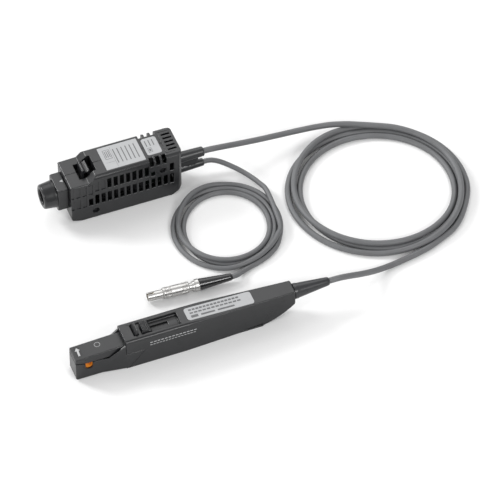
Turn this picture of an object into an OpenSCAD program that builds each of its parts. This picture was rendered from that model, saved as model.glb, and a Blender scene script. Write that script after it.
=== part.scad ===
// Clamp-on current probe for an oscilloscope: slim sensor head with a sliding jaw,
// terminator box with a bayonet coaxial connector, signal cord, power cord and push-pull plug.
// Millimetres, +X from the jaw tip towards the sensor's cord, +Z up, standing surface at z = 0.

/* [Layout] */
// Distance between the sensor's and the terminator's centre planes
plane_gap = 141.3; // [130:0.1:160]
// Terminator box front face, measured from the jaw's front face
term_setback = 45.2; // [30:0.1:60]

/* [Sensor head] */
// Length from the jaw's front face to the rear wall
sensor_len = 158; // [150:1:162]
// Height of the housing
sensor_h = 26; // [24:0.5:28]
// Width of the housing
sensor_w = 18; // [17:0.5:20]
// Wall thickness of the mouldings
wall = 1.6; // [1.2:0.1:2]
// Length of the jaw that stands in front of the housing
tip_len = 35; // [32:1:38]
// Width of the jaw
tip_w = 13.2; // [11:0.2:14]
// Height of the jaw's top face at its front
tip_top = 19.9; // [19:0.1:21]
// Centre of the conductor opening from the front face
hole_x = 9.5; // [9:0.5:12]
// Radius of the conductor opening
hole_r = 2.6; // [2.5:0.1:3]
// Travel of the sliding jaw
jaw_travel = 16.5; // [14:0.5:17]
// Length of the tapered sleeve on the sensor's cord
relief_len = 26; // [20:1:30]

/* [Terminator] */
// Length of the box
box_len = 82; // [80:1:90]
// Width of the box
box_w = 28; // [26:1:30]
// Height of the deck
box_h = 40; // [38:1:42]
// Height of the low front part
box_front_h = 34.8; // [32:0.2:36]
// Pitch of the ventilation slots
vent_pitch = 4.575; // [4.2:0.025:5]
// Width of a ventilation slot
vent_w = 2.9; // [2:0.1:3.2]
// Height of a ventilation slot
vent_h = 9.2; // [7:0.2:9.4]
// Height of the connector's axis
plug_axis_z = 20; // [18:0.5:22]

/* [Cords] */
// Diameter of the sensor cord
signal_d = 4.2; // [4:0.1:4.4]
// Diameter of the power cord
power_d = 3.6; // [3.4:0.1:3.8]

/* [Hidden] */
$fn = 48;

charcoal = [0.23, 0.23, 0.24];
dark = [0.12, 0.12, 0.13];
cord_grey = [0.48, 0.49, 0.5];
label_grey = [0.78, 0.79, 0.8];
steel = [0.72, 0.73, 0.75];
orange = [0.93, 0.6, 0.15];
board_green = [0.1, 0.35, 0.2];

// Centre planes and front faces in the part's frame: the origin is below the middle of both boxes
sensor_x = -(sensor_len + relief_len) / 2;
term_y = (plane_gap + sensor_w / 2 - box_w / 2) / 2;
sensor_y = term_y - plane_gap;
term_x = sensor_x + term_setback;

fit_gap = 0.05;
slide_gap = 0.3;
over = 1;

// ---------------------------------------------------------------- sensor head
jaw_floor = 0.6;
lip_z = 16.1;
lip_drop = 1.8;
tip_rear_top = 21.4;
flare_x0 = 18.4;
flare_x1 = 34.9;
shelf_z = 13.9;
front_wall = hole_x - hole_r;
step_x = front_wall - 0.5 + slide_gap;
taper_x = 78;
rear_half_w = 5.8;
rear_top = 23.2;
rear_floor = 11.7;
curl_x = 134;
cheek_top_x = 49;
cheek_top_z = 14.3;
cheek_foot_x = 36;
slot_x0 = 42.2;
slot_x1 = 75.2;
slot_w = 10.5;
slot_floor = 23.2;
slot_skin = 1.0;
stem_w = 3;
lever_len = 12.6;
board_x0 = 53;
board_x1 = 124;
board_z = 7.2;
board_t = 1.2;
board_half_w = 4.6;
relief_z = 17.5;

module at_sensor() translate([sensor_x, sensor_y, 0]) children();

// Extrudes an XZ outline over the given Y range
module side_plate(points, y0, y1)
    translate([0, y1, 0]) rotate([90, 0, 0]) linear_extrude(y1 - y0) polygon(points);

// Side outline of the housing, drawn in by g on every side
function sensor_side(g) = concat(
    [[tip_len + g, g]],
    [for (i = [0 : 6]) let (t = i / 6)
        [curl_x + (sensor_len - curl_x - g) * t, g + rear_floor * t * (0.35 + 0.65 * t)]],
    [[sensor_len - g, rear_top - g], [taper_x, sensor_h - g], [tip_len + g, sensor_h - g]]
);

// Plan outline of the housing, drawn in by g
function sensor_plan(g) = let (h = sensor_w / 2 - g, r = rear_half_w - g) [
    [tip_len + g, -h], [taper_x, -h], [sensor_len - g, -r],
    [sensor_len - g, r], [taper_x, h], [tip_len + g, h]
];

module sensor_block(g, edge = 1.4) intersection() {
    side_plate(sensor_side(g), -sensor_w, sensor_w);
    linear_extrude(sensor_h) polygon(sensor_plan(g));
    h = sensor_w / 2 - g;
    top = sensor_h - g;
    rotate([90, 0, 90]) linear_extrude(sensor_len + over)
        polygon([[-h, 0], [h, 0], [h, top - edge], [h - edge, top], [edge - h, top], [-h, top - edge]]);
}

module sensor_housing() color(charcoal) at_sensor() difference() {
    sensor_block(0);
    difference() {
        sensor_block(wall, 0.6);
        // recess floor under the lever and the rails beside its stem
        translate([slot_x0 - wall, -slot_w / 2 - wall, slot_floor - slot_skin])
            cube([slot_x1 - slot_x0 + 2 * wall, slot_w + 2 * wall, sensor_h]);
        // rear bulkhead for the sleeve's flange
        translate([sensor_len - 4, -sensor_w / 2, 0]) cube([2, sensor_w, sensor_h]);
    }
    // open underside for the base
    translate([tip_len - over, wall - sensor_w / 2, -over])
        cube([curl_x - tip_len + over, sensor_w - 2 * wall, over + wall + 0.2]);
    // mouth for the sliding jaw
    translate([tip_len - over, -tip_w / 2 - slide_gap, -over])
        cube([wall + 2 * over, tip_w + 2 * slide_gap, tip_rear_top + slide_gap + over]);
    // diagonal cut for the fixed jaw's cheeks
    side_plate([[tip_len - over, -over], [cheek_foot_x, -over], [cheek_foot_x, 0],
        [cheek_top_x, cheek_top_z], [tip_len - over, cheek_top_z]], -sensor_w, sensor_w);
    // lever recess and the slit for its stem
    translate([slot_x0, -slot_w / 2, slot_floor]) cube([slot_x1 - slot_x0, slot_w, sensor_h]);
    translate([slot_x0 + 6 - slide_gap, -stem_w / 2 - slide_gap, slot_floor - slot_skin - over])
        cube([jaw_travel + 3 + 2 * slide_gap, stem_w + 2 * slide_gap, slot_skin + 2 * over]);
    // cord hole
    translate([sensor_len - 5, 0, relief_z]) rotate([0, 90, 0]) cylinder(r = 3, h = 6);
    // sink for the label
    label_sink();
}

module label_sink() translate([label_x0, -5.6, sensor_h]) rotate([0, label_tilt, 0])
    translate([0, 0, -0.2]) cube([label_len, 11.2, 2]);
label_x0 = 80.5;
label_len = 48;
label_tilt = atan((sensor_h - rear_top) / (sensor_len - taper_x));

module sensor_base() color(charcoal) at_sensor() {
    difference() {
        translate([cheek_top_x + 1, wall - sensor_w / 2, 0])
            cube([curl_x - cheek_top_x - 1.2, sensor_w - 2 * wall, wall]);
        for (x = [60, 112]) translate([x, 0, -over]) {
            cylinder(r = 1.3, h = wall + 2 * over);
            cylinder(r = 2.4, h = over + 0.7);
        }
    }
    for (x = [70, 104]) for (s = [-1, 1]) translate([x, s * 3.6, wall]) cylinder(r = 1, h = board_z - wall);
}

module base_screws() color(steel) at_sensor() for (x = [60, 112]) translate([x, 0, 0.1]) difference() {
    union() {
        cylinder(r = 2.2, h = 0.55);
        cylinder(r = 1.1, h = 4.6);
    }
    translate([-1.6, -0.25, -over]) cube([3.2, 0.5, over + 0.3]);
    translate([-0.25, -1.6, -over]) cube([0.5, 3.2, over + 0.3]);
}

// Side outline of the fixed jaw's blade with the open conductor seat
function jaw_blade() = concat(
    [[0, jaw_floor + 0.8], [0.8, jaw_floor], [cheek_top_x, jaw_floor], [cheek_top_x, shelf_z],
     [hole_x + hole_r + 0.5, shelf_z]],
    [for (a = [0 : -15 : -180]) [hole_x + (hole_r + 0.5) * cos(a), hole_z + (hole_r + 0.5) * sin(a)]],
    [[hole_x - hole_r - 0.5, lip(hole_x - hole_r - 0.5)], [0, lip_z]]
);
hole_z = 11.3;

// Height of the fixed jaw's lip, which falls towards the conductor seat
function lip(x) = lip_z - lip_drop * x / (hole_x - hole_r - 0.5);

core_half_w = 3.4;
leg_front = [2.6, 5.6];
leg_rear = [15, 19];
yoke_z = [2.4, 5.4];

module core_void(g) {
    translate([leg_front[0] - g, -core_half_w - g, yoke_z[0] - g])
        cube([leg_front[1] - leg_front[0] + 2 * g, 2 * (core_half_w + g), lip_z + over]);
    translate([leg_rear[0] - g, -core_half_w - g, yoke_z[0] - g])
        cube([leg_rear[1] - leg_rear[0] + 2 * g, 2 * (core_half_w + g), lip_z + over]);
    translate([leg_front[0] - g, -core_half_w - g - 1, jaw_floor - over])
        cube([leg_rear[1] - leg_front[0] + 2 * g, 2 * (core_half_w + g + 1), yoke_z[1] + 1.0 - jaw_floor + over]);
    translate([leg_rear[1] - over, -core_half_w - g, yoke_z[0]]) cube([over + 2.2, 2 * (core_half_w + g), 8.8]);
}

module lower_jaw() color(charcoal) at_sensor() difference() {
    union() {
        side_plate(jaw_blade(), -tip_w / 2, tip_w / 2);
        for (s = [-1, 1]) side_plate(
            [[tip_len + 0.1, 0], [cheek_foot_x - 0.1, 0], [cheek_top_x - 0.5, cheek_top_z - 0.3],
             [tip_len + 0.1, cheek_top_z - 0.3]],
            s > 0 ? tip_w / 2 - 0.2 : -sensor_w / 2, s > 0 ? sensor_w / 2 : 0.2 - tip_w / 2);
        // flare from the jaw to the housing's width
        for (s = [-1, 1]) translate([0, 0, jaw_floor]) linear_extrude(shelf_z - jaw_floor)
            polygon([[flare_x0, s * (tip_w / 2 - 0.2)], [tip_len + 0.15, s * (tip_w / 2 - 0.2)],
                     [tip_len + 0.15, s * sensor_w / 2], [flare_x1, s * sensor_w / 2], [flare_x0, s * tip_w / 2]]);
        // cheeks that rise beside the sliding jaw
        intersection() {
            side_plate([[21.5, shelf_z - over], [23.3, shelf_z + 0.1], [32, 20.2], [flare_x1, 22.3],
                [flare_x1, shelf_z - over]], -sensor_w, sensor_w);
            for (s = [-1, 1]) linear_extrude(sensor_h) polygon([[flare_x0, s * tip_w / 2],
                [flare_x1, s * sensor_w / 2], [flare_x1, s * (tip_w / 2 + slide_gap)],
                [flare_x0 + 2, s * (tip_w / 2 + slide_gap)]]);
        }
    }
    core_void(0.1);
    // hollow behind the core for its wires
    translate([23, -tip_w / 2 + wall, wall + jaw_floor])
        cube([cheek_top_x, tip_w - 2 * wall, shelf_z - 2 * wall - jaw_floor]);
}

module lower_jaw_cover() color(dark) at_sensor()
    translate([leg_front[0], -core_half_w - 1, jaw_floor]) cube([leg_rear[1] - leg_front[0], 2 * (core_half_w + 1), 0.8]);

module lower_core() color([0.45, 0.45, 0.48]) at_sensor() {
    side_plate([[leg_front[0], yoke_z[0]], [leg_front[1], yoke_z[0]], [leg_front[1], lip(leg_front[1])],
        [leg_front[0], lip(leg_front[0])]], -core_half_w, core_half_w);
    translate([leg_rear[0], -core_half_w, yoke_z[0]])
        cube([leg_rear[1] - leg_rear[0], 2 * core_half_w, shelf_z - yoke_z[0]]);
    translate([leg_front[0], -core_half_w, yoke_z[0]])
        cube([leg_rear[1] - leg_front[0], 2 * core_half_w, yoke_z[1] - yoke_z[0]]);
}

module feedback_winding() color([0.72, 0.42, 0.2]) at_sensor() difference() {
    translate([7, -core_half_w - 0.9, yoke_z[0] - 0.9]) cube([6.4, 2 * core_half_w + 1.8, yoke_z[1] - yoke_z[0] + 1.8]);
    translate([6, -core_half_w - 0.02, yoke_z[0] - 0.02])
        cube([8.4, 2 * core_half_w + 0.04, yoke_z[1] - yoke_z[0] + 0.04]);
}

module hall_element() color(dark) at_sensor()
    translate([leg_rear[1] + 0.1, -1.6, 9]) cube([0.9, 3.2, 1.6]);

module opening_liner() color(orange) at_sensor() difference() {
    side_plate(concat(
        [[hole_x + hole_r + 0.45, shelf_z]],
        [for (a = [0 : -15 : -180])
            [hole_x + (hole_r + 0.45) * cos(a), hole_z + (hole_r + 0.45) * sin(a)]],
        [[hole_x - hole_r - 0.45, shelf_z]]), -tip_w / 2 + 0.1, tip_w / 2 - 0.1);
    translate([hole_x, 0, hole_z]) rotate([90, 0, 0]) cylinder(r = hole_r, h = 2 * tip_w, center = true);
    translate([hole_x - hole_r, -tip_w, hole_z]) cube([2 * hole_r, 2 * tip_w, 10]);
}

// Sliding jaw: a cap over the fixed jaw, deeper behind the conductor seat
module upper_jaw() color(charcoal) at_sensor() difference() {
    side_plate([[0, lip_z + slide_gap], [step_x, lip(step_x) + slide_gap],
        [step_x, shelf_z + slide_gap], [tip_len + 12, shelf_z + slide_gap],
        [tip_len + 12, tip_top], [tip_len + 1, tip_rear_top], [0.5, tip_top], [0, tip_top - 0.5]],
        -tip_w / 2, tip_w / 2);
    // pocket for the core's bar, open at the mating face
    translate([leg_front[0] - 0.1, -core_half_w - 0.1, 0])
        cube([leg_rear[1] - leg_front[0] + 0.2, 2 * core_half_w + 0.2, 18.6]);
}

module upper_core() color([0.5, 0.5, 0.53]) at_sensor()
    side_plate([[leg_front[0], lip(leg_front[0]) + slide_gap], [leg_front[1], lip(leg_front[1]) + slide_gap],
        [leg_front[1], lip_z + slide_gap], [leg_rear[0], lip_z + slide_gap],
        [leg_rear[0], shelf_z + slide_gap], [leg_rear[1], shelf_z + slide_gap],
        [leg_rear[1], 18.5], [leg_front[0], 18.5]], -core_half_w, core_half_w);

module upper_liner() color(orange) at_sensor()
    translate([step_x + fit_gap, -core_half_w, shelf_z + slide_gap])
        cube([leg_rear[0] - step_x - 2 * fit_gap, 2 * core_half_w, lip_z - shelf_z - fit_gap]);

module jaw_carriage() color(dark) at_sensor() {
    translate([tip_len + 12, -4.4, shelf_z + slide_gap]) cube([18, 8.8, 4.6]);
    translate([slot_x0 + 6, -stem_w / 2, shelf_z + slide_gap + 4.6])
        cube([3, stem_w, slot_floor + 0.3 - shelf_z - slide_gap - 4.6]);
}

module opening_lever() color(charcoal) at_sensor() translate([slot_x0 + 0.4, 0, slot_floor + 0.3]) difference() {
    intersection() {
        // finger ridge in front, groove, ribbed ramp behind
        side_plate([[0, 0], [lever_len, 0], [lever_len, 1.6], [lever_len - 0.6, 2.4], [5.9, 5.2], [5.2, 1.8],
            [3.3, 1.8], [2.8, 5.8], [2.2, 5.8], [0, 1.8]], -slot_w, slot_w);
        rotate([90, 0, 90]) linear_extrude(lever_len) polygon([[-4.95, 0], [4.95, 0], [4.95, 1.4],
            [3.8, 5.8], [-3.8, 5.8], [-4.95, 1.4]]);
    }
    for (i = [0 : 3]) translate([6.9 + 1.35 * i, 0, 4.74 - 0.62 * i]) rotate([0, 24.6, 0])
        translate([-0.3, -slot_w / 2, -0.25]) cube([0.6, slot_w, 1]);
}

module detent_leaf() color(steel) at_sensor() {
    translate([70, -5.2, 20.2]) cube([10, 10.4, 0.3]);
    for (s = [-1, 1]) translate([79.7, s * 4.1 - 1, 20.2]) cube([0.3, 2, 2.4]);
}

module sensor_board() color(board_green) at_sensor() difference() {
    translate([board_x0, -board_half_w, board_z]) cube([board_x1 - board_x0, 2 * board_half_w, board_t]);
    for (x = [57, 118]) translate([x, 0, board_z - over]) cylinder(r = 1, h = board_t + 2 * over);
}

module sensor_board_parts() color(dark) at_sensor() translate([0, 0, board_z + board_t]) {
    for (i = [0 : 3]) translate([63 + 12 * i, -2, 0]) cube([6, 4, 1.5]);
    for (i = [0 : 4]) translate([60.5 + 12 * i, -3.4, 0]) cube([1, 2, 0.8]);
    translate([111, -2.6, 0]) cube([5, 5.2, 2.6]);
}

module sensor_shield() color(steel) at_sensor() difference() {
    translate([60, -board_half_w + 0.2, board_z + board_t]) cube([50, 2 * board_half_w - 0.4, 3.4]);
    translate([60.3, -board_half_w + 0.5, board_z + board_t - over]) cube([49.4, 2 * board_half_w - 1, 3.1 + over]);
}

module sensor_label() color(label_grey) at_sensor()
    translate([label_x0, 0, sensor_h]) rotate([0, label_tilt, 0]) translate([0.1, 0, -0.2])
        rounded_plate(label_len - 0.2, 11, 0.2, 2);

// Flat plate from x = 0 with rounded corners
module rounded_plate(len, width, t, r) linear_extrude(t) union() {
    translate([r, -width / 2]) square([len - 2 * r, width]);
    translate([0, r - width / 2]) square([len, width - 2 * r]);
    for (x = [r, len - r]) for (y = [r - width / 2, width / 2 - r]) translate([x, y]) circle(r);
}

module sensor_cord_clamp() color(steel) at_sensor() translate([147.5, 0, relief_z]) rotate([0, 90, 0]) difference() {
    cylinder(r = 2.9, h = 4);
    translate([0, 0, -over]) cylinder(r = 2.1, h = 4 + 2 * over);
}

module sensor_strain_relief() color(dark) at_sensor() translate([sensor_len, 0, relief_z]) rotate([0, 90, 0])
    rotate_extrude() polygon([[0, -6.5], [2.1, -6.5], [2.1, -4.1], [3, -4.1], [3, 0], [5.5, 0], [5.5, 2.2],
        [5.3, 3], [3, relief_len - 0.6], [2.6, relief_len], [0, relief_len]]);

// ---------------------------------------------------------------- terminator
shell_t = 1.8;
edge_drop = 1.5;
edge_in = 2;
rear_chamfer = 3;
screw_spots = [[17.7, 6.8], [67.4, 27.6]];
vent_x0 = 14.4;
low_row_z = 12.8;
high_row_z = 25.8;
pocket_x0 = 9;
pocket_x1 = 21;
pocket_half_w = 7.2;
pocket_floor = 29;
cover_x0 = 71.5;
cover_half_w = 10;
relief_span = 20;
signal_z = 20;
power_z = 9.2;
cord_flange_w = 1.6;

module at_term() translate([term_x, term_y, 0]) children();

function box_side(g) = [
    [g, 2.7 + g / 2], [8, g], [box_len - 8.5, g], [box_len - g, 5.5 + g / 2], [box_len - g, box_h - g],
    [18.7 + g / 2, box_h - g], [13.4 + g / 2, box_front_h - g], [g, box_front_h - g]
];

function box_plan(g) = let (h = box_w / 2 - g) [
    [g, -h], [box_len - rear_chamfer - g / 2, -h], [box_len - g, rear_chamfer - h],
    [box_len - g, h - rear_chamfer], [box_len - rear_chamfer - g / 2, h], [g, h]
];

module box_block(g) intersection() {
    side_plate(box_side(g), -box_w, box_w);
    linear_extrude(box_h) polygon(box_plan(g));
    h = box_w / 2 - g;
    top = box_h - g;
    rotate([90, 0, 90]) linear_extrude(box_len + over)
        polygon([[-h, 0], [h, 0], [h, top - edge_drop], [h - edge_in, top], [edge_in - h, top], [-h, top - edge_drop]]);
}

// Ventilation openings of one side wall, cut from y = 0 outwards to -Y
module vent_cuts() {
    for (i = [0 : 13]) translate([vent_x0 + vent_pitch * i - vent_w / 2, -box_w, low_row_z])
        cube([vent_w, box_w - 8, i == 0 ? vent_h - 2.4 : vent_h]);
    for (i = [3 : 9]) translate([vent_x0 + vent_pitch * i - vent_w / 2, -box_w, high_row_z])
        cube([vent_w, box_w - 8, vent_h]);
    translate([vent_x0 + vent_pitch * 10 - vent_w / 2, -box_w, high_row_z - 1.1]) cube([vent_w, box_w - 8, 4]);
    translate([vent_x0 + vent_pitch * 13 - vent_w / 2, -box_w, high_row_z - 0.6]) cube([vent_w, box_w - 8, 7.2]);
    // slots that wrap over the top edge
    for (i = [10 : 12]) translate([vent_x0 + vent_pitch * i - vent_w / 2 - 0.7, -box_w / 2 - over, box_h - 6])
        cube([vent_w, over + 4.2, 7]);
    // shallow blind recesses on the same grid
    for (i = [-3 : -1]) translate([vent_x0 + vent_pitch * i - vent_w / 2, -box_w / 2 - over, low_row_z])
        cube([vent_w, over + 0.5, vent_h]);
    for (i = [-3 : 0]) translate([vent_x0 + vent_pitch * i - vent_w / 2, -box_w / 2 - over, high_row_z - 2])
        cube([vent_w, over + 0.5, vent_h]);
    for (i = [1 : 2]) translate([vent_x0 + vent_pitch * i - vent_w / 2, -box_w / 2 - over, high_row_z])
        cube([vent_w, over + 0.5, vent_h]);
}

// Half of the case on the -Y side, with its seam on the centre plane
module half_shell() difference() {
    intersection() {
        box_block(0);
        translate([-over, -box_w, -over]) cube([box_len + 2 * over, box_w - 0.02, box_h + 2 * over]);
    }
    difference() {
        box_block(shell_t);
        for (p = screw_spots) translate([p[0], 0, p[1]]) rotate([90, 0, 0]) cylinder(r = 3.4, h = box_w);
        translate([pocket_x0 - shell_t, -box_w, pocket_floor - shell_t])
            cube([pocket_x1 - pocket_x0 + 2 * shell_t, box_w, box_h]);
    }
    vent_cuts();
    // pocket for the lock lever
    translate([pocket_x0, -pocket_half_w, pocket_floor]) cube([pocket_x1 - pocket_x0, box_w, box_h]);
    // slit for the lever's stem
    translate([lever_rest_x + 0.3, -2.3, pocket_floor - 3]) cube([lock_travel + 3, 4.6, 4]);
    // opening for the rear cover
    translate([cover_x0, -cover_half_w, box_h - 6]) cube([box_len, 2 * cover_half_w, 7]);
    // mouths for the connector block and for the cords' sleeves
    translate([-over, -6, plug_axis_z - 6]) cube([shell_t + 2 * over, 12, 12]);
    translate([box_len - 4, -3.6, power_z - 3]) cube([6, 7.2, signal_z - power_z + 6.8]);
    // sinks for the labels
    translate([27.6, -10.8, box_h - 0.2]) cube([28.8, 21.6, 1]);
    translate([58.6, -8.1, box_h - 0.2]) cube([10.9, 16.2, 1]);
}

module screw_ways(near) for (p = screw_spots) translate([p[0], 0, p[1]]) rotate([90, 0, 0])
    if (near) translate([0, 0, -over]) {
        cylinder(r = 1.2, h = box_w);
        translate([0, 0, over + box_w / 2 - 4]) cylinder(r = 2.4, h = 10);
    }
    else cylinder(r = 1.0, h = 9.5);

module terminator_shell_near() color(charcoal) at_term() difference() {
    half_shell();
    screw_ways(true);
}

module terminator_shell_far() color(charcoal) at_term() difference() {
    mirror([0, 1, 0]) half_shell();
    mirror([0, 1, 0]) screw_ways(false);
}

module shell_screws() color(steel) at_term() for (p = screw_spots) translate([p[0], 0, p[1]]) difference() {
    rotate([90, 0, 0]) {
        translate([0, 0, box_w / 2 - 4]) cylinder(r = 2.2, h = 1.6);
        translate([0, 0, -8]) cylinder(r = 1.0, h = box_w / 2 + 4);
    }
    translate([-1.5, 1.6 - box_w / 2, -0.3]) cube([3, 1.6, 0.6]);
    translate([-0.3, 1.6 - box_w / 2, -1.5]) cube([0.6, 1.6, 3]);
}

block_len = 7.8;
block_half_w = 9;
block_half_h = 10.4;
collar_len = 9.6;
bore_r = 4.85;

module along_plug_axis() at_term() translate([0, 0, plug_axis_z]) rotate([0, -90, 0]) children();

module connector_block() color(charcoal) at_term() difference() {
    union() {
        translate([-block_len, 0, plug_axis_z]) rotate([90, 0, 90]) linear_extrude(block_len - 0.02)
            polygon(block_outline());
        translate([-over, -5.9, plug_axis_z - 5.9]) cube([over + shell_t + 1.4, 11.8, 11.8]);
        translate([shell_t + 0.05, -7.5, plug_axis_z - 6.6]) cube([1.6, 15, 13.2]);
    }
    translate([-block_len - over, 0, plug_axis_z]) rotate([0, 90, 0]) cylinder(r = 6.9, h = 5 + over);
    translate([-block_len - over, 0, plug_axis_z]) rotate([0, 90, 0]) cylinder(r = 3.2, h = 20);
    // small index mark on the top face
    translate([-2.3, 0, plug_axis_z + block_half_h - 0.3]) linear_extrude(1) polygon([[-1.5, 0], [1.2, -1.5], [1.2, 1.5]]);
}

function block_outline() = let (w = block_half_w, h = block_half_h, c = 2, e = 0.5) [
    [-w, -h + c], [-w + c, -h], [w - c, -h], [w, -h + c], [w, h - e], [w - e, h], [-w + e, h], [-w, h - e]
];

module connector_collar() color(charcoal) along_plug_axis() translate([0, 0, block_len]) rotate_extrude()
    polygon([[bore_r + 0.65, 0.02], [9.7, 0.02], [9.7, 1.4], [8.9, collar_len - 1.4], [8.3, collar_len - 0.3],
        [7.4, collar_len], [6.2, collar_len], [bore_r + 0.65, collar_len - 0.8]]);

module connector_sleeve() color(steel) along_plug_axis() translate([0, 0, block_len - 4.9]) rotate_extrude()
    polygon([[3.3, 0.05], [bore_r + 0.6, 0.05], [bore_r + 0.6, collar_len + 3.6], [bore_r, collar_len + 3.9],
        [bore_r, 1.2], [3.3, 1.2]]);

module connector_insulator() color([0.93, 0.92, 0.88]) along_plug_axis() translate([0, 0, block_len - 4.8])
    rotate_extrude() polygon([[0.72, 0], [3.2, 0], [3.2, 3.4], [2.4, 3.8], [2.4, 9.2], [0.72, 9.2]]);

module connector_pin() color([0.85, 0.7, 0.35]) along_plug_axis() translate([0, 0, -6]) rotate_extrude()
    polygon([[0, 0], [0.68, 0], [0.68, 17.4], [0.2, 18.6], [0, 18.6]]);

lever_rest_x = 11.4;
lock_travel = 3;

module lock_lever() color(charcoal) at_term() {
    translate([lever_rest_x, 0, pocket_floor + slide_gap]) difference() {
        // upright front plate, thumb dish and lower rear edge
        side_plate([[0, 0], [5.5, 0], [5.5, 9.6], [4.8, 9.6], [4.2, 8.9], [2.8, 8.9], [1.5, 10.9], [0.6, 10.9], [0, 10.1]],
            -5.2, 5.2);
        // hollow ends under the dish
        for (s = [-1, 1]) translate([1.5, s > 0 ? 1 : -6, 1.2]) cube([2.9, 5, 6.5]);
    }
    translate([lever_rest_x + 0.6, -2, pocket_floor - 2.4]) cube([2.4, 4, 2.4 + slide_gap]);
}

module lock_latch() color(steel) at_term() {
    translate([lever_rest_x + 0.6, -2, pocket_floor - 3]) cube([2.4, 4, 0.6]);
    translate([3.6, -2, pocket_floor - 3]) cube([lever_rest_x - 3.0, 4, 0.6]);
}

module lock_spring() color(steel) at_term() translate([lever_rest_x + 3.1, 0, pocket_floor - 1.15])
    rotate([0, 90, 0]) for (i = [0 : 2]) translate([0, 0, 0.2 + 0.8 * i])
        rotate_extrude() translate([0.85, 0]) circle(r = 0.2, $fn = 16);

module terminator_board() color(board_green) at_term() difference() {
    translate([6, -0.8, 3.2]) cube([69.5, 1.6, 22.4]);
    for (p = screw_spots) translate([p[0], 0, p[1]]) rotate([90, 0, 0]) cylinder(r = 4, h = 8, center = true);
    for (x = [9.5, 72]) translate([x, 0, 23]) rotate([90, 0, 0]) cylinder(r = 1.1, h = 8, center = true);
}

module board_parts() color(dark) at_term() {
    for (i = [0 : 3]) translate([26 + 10 * i, 0.85, 6]) cube([6, 1.6, 8]);
    for (i = [0 : 2]) translate([62 + 5.4 * i, 0.85, 8]) rotate([-90, 0, 0]) cylinder(r = 2.2, h = 7);
    for (i = [0 : 5]) translate([24 + 7 * i, -1.65, 20]) cube([2.4, 0.8, 1.4]);
    translate([11, 0.85, 14]) cube([8, 5, 7]);
}

module amplifier_shield() color(steel) at_term() difference() {
    translate([22, -8, 4.4]) cube([34, 7.1, 14]);
    translate([22.4, -7.6, 4.8]) cube([33.2, 8, 13.2]);
    for (i = [0 : 4]) translate([27 + 6 * i, -9, 11.4]) rotate([-90, 0, 0]) cylinder(r = 1.2, h = 3);
}

module heat_sink() color([0.62, 0.63, 0.65]) at_term() {
    translate([26, -6, 31]) cube([38, 12, 1.6]);
    for (i = [0 : 5]) translate([26, -6 + 2.16 * i, 32.6]) cube([38, 1.2, 4.4]);
    for (x = [27, 61]) translate([x, -0.6, 25.6]) cube([2, 1.2, 5.4]);
}

module vent_cover() color(charcoal) at_term() difference() {
    union() {
        translate([cover_x0, -cover_half_w, box_h - 6]) cube([box_len - cover_x0, 2 * cover_half_w, 6]);
        translate([cover_x0, -cover_half_w + 0.4, box_h - 7]) cube([1, 2 * cover_half_w - 0.8, 2]);
    }
    translate([cover_x0 + shell_t, shell_t - cover_half_w, box_h - 8])
        cube([box_len - cover_x0 - 2 * shell_t, 2 * (cover_half_w - shell_t), 6.4]);
    for (i = [0 : 4]) translate([cover_x0 + 2.2, -8 + 3.6 * i, box_h - 3]) cube([6.3, 1.6, 4]);
}

module terminator_label_front() color(label_grey) at_term()
    translate([27.7, 0, box_h - 0.2]) rounded_plate(28.6, 21.4, 0.2, 0.6);

module terminator_label_rear() color(label_grey) at_term()
    translate([58.7, 0, box_h - 0.2]) rounded_plate(10.7, 16, 0.2, 1.6);

// Two tapered sleeves, one above the other, joined by a web
module twin_strain_relief() color(dark) at_term() {
    translate([box_len - 3.6, -5, power_z - 2.5]) cube([1.7, 10, signal_z - power_z + 7.5]);
    translate([box_len - 1.9, -3.5, power_z - 2.9]) cube([1.9, 7, signal_z - power_z + 6.6]);
    translate([box_len, 0, signal_z]) rotate([0, 90, 0]) rotate_extrude()
        polygon([[0, 0], [4.1, 0], [3.5, relief_span - 0.6], [3.1, relief_span], [0, relief_span]]);
    translate([box_len, 0, power_z]) rotate([0, 90, 0]) rotate_extrude()
        polygon([[0, 0], [3.5, 0], [2.8, relief_span - 0.6], [2.4, relief_span], [0, relief_span]]);
    translate([box_len - 0.2, -1.8, power_z]) cube([relief_span - 4, 3.6, signal_z - power_z]);
}

// ---------------------------------------------------------------- push-pull plug
plug_pos = [-23.5, -31.5, 4.6];
plug_yaw = -3.5;
nose_len = 10.5;
nose_r = 3.1;
stem_r = 2.75;
sleeve_end = 29.5;
nut_start = 33;
boot_start = 36.5;
boot_end = 60;
boot_r0 = 4.1;
boot_r1 = 2.4;

module along_plug() translate(plug_pos) rotate([0, 0, plug_yaw]) rotate([0, 90, 0]) children();

// Front shell of the plug, with its key slot uppermost
module plug_nose() color(steel) along_plug() difference() {
    union() {
        cylinder(r = nose_r, h = nose_len);
        cylinder(r = stem_r, h = 22);
    }
    translate([0, 0, -over]) cylinder(r = 2.65, h = nose_len - 0.2 + over);
    cylinder(r = 2.1, h = 22 + over);
    translate([-nose_r - over, -0.5, -over]) cube([2, 1, 4.6 + over]);
}

module plug_insert() color([0.85, 0.8, 0.62]) along_plug() translate([0, 0, 4.2]) difference() {
    cylinder(r = 2.6, h = 6);
    translate([-0.3, -3, -over]) cube([3.2, 6, over + 1.2]);
}

module plug_contacts() color([0.85, 0.7, 0.35]) along_plug()
    for (a = [45 : 90 : 315]) translate([1.3 * cos(a), 1.3 * sin(a), 1.4]) cylinder(r = 0.35, h = 2.75 + (cos(a) > 0 ? 1.2 : 0));

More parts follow.
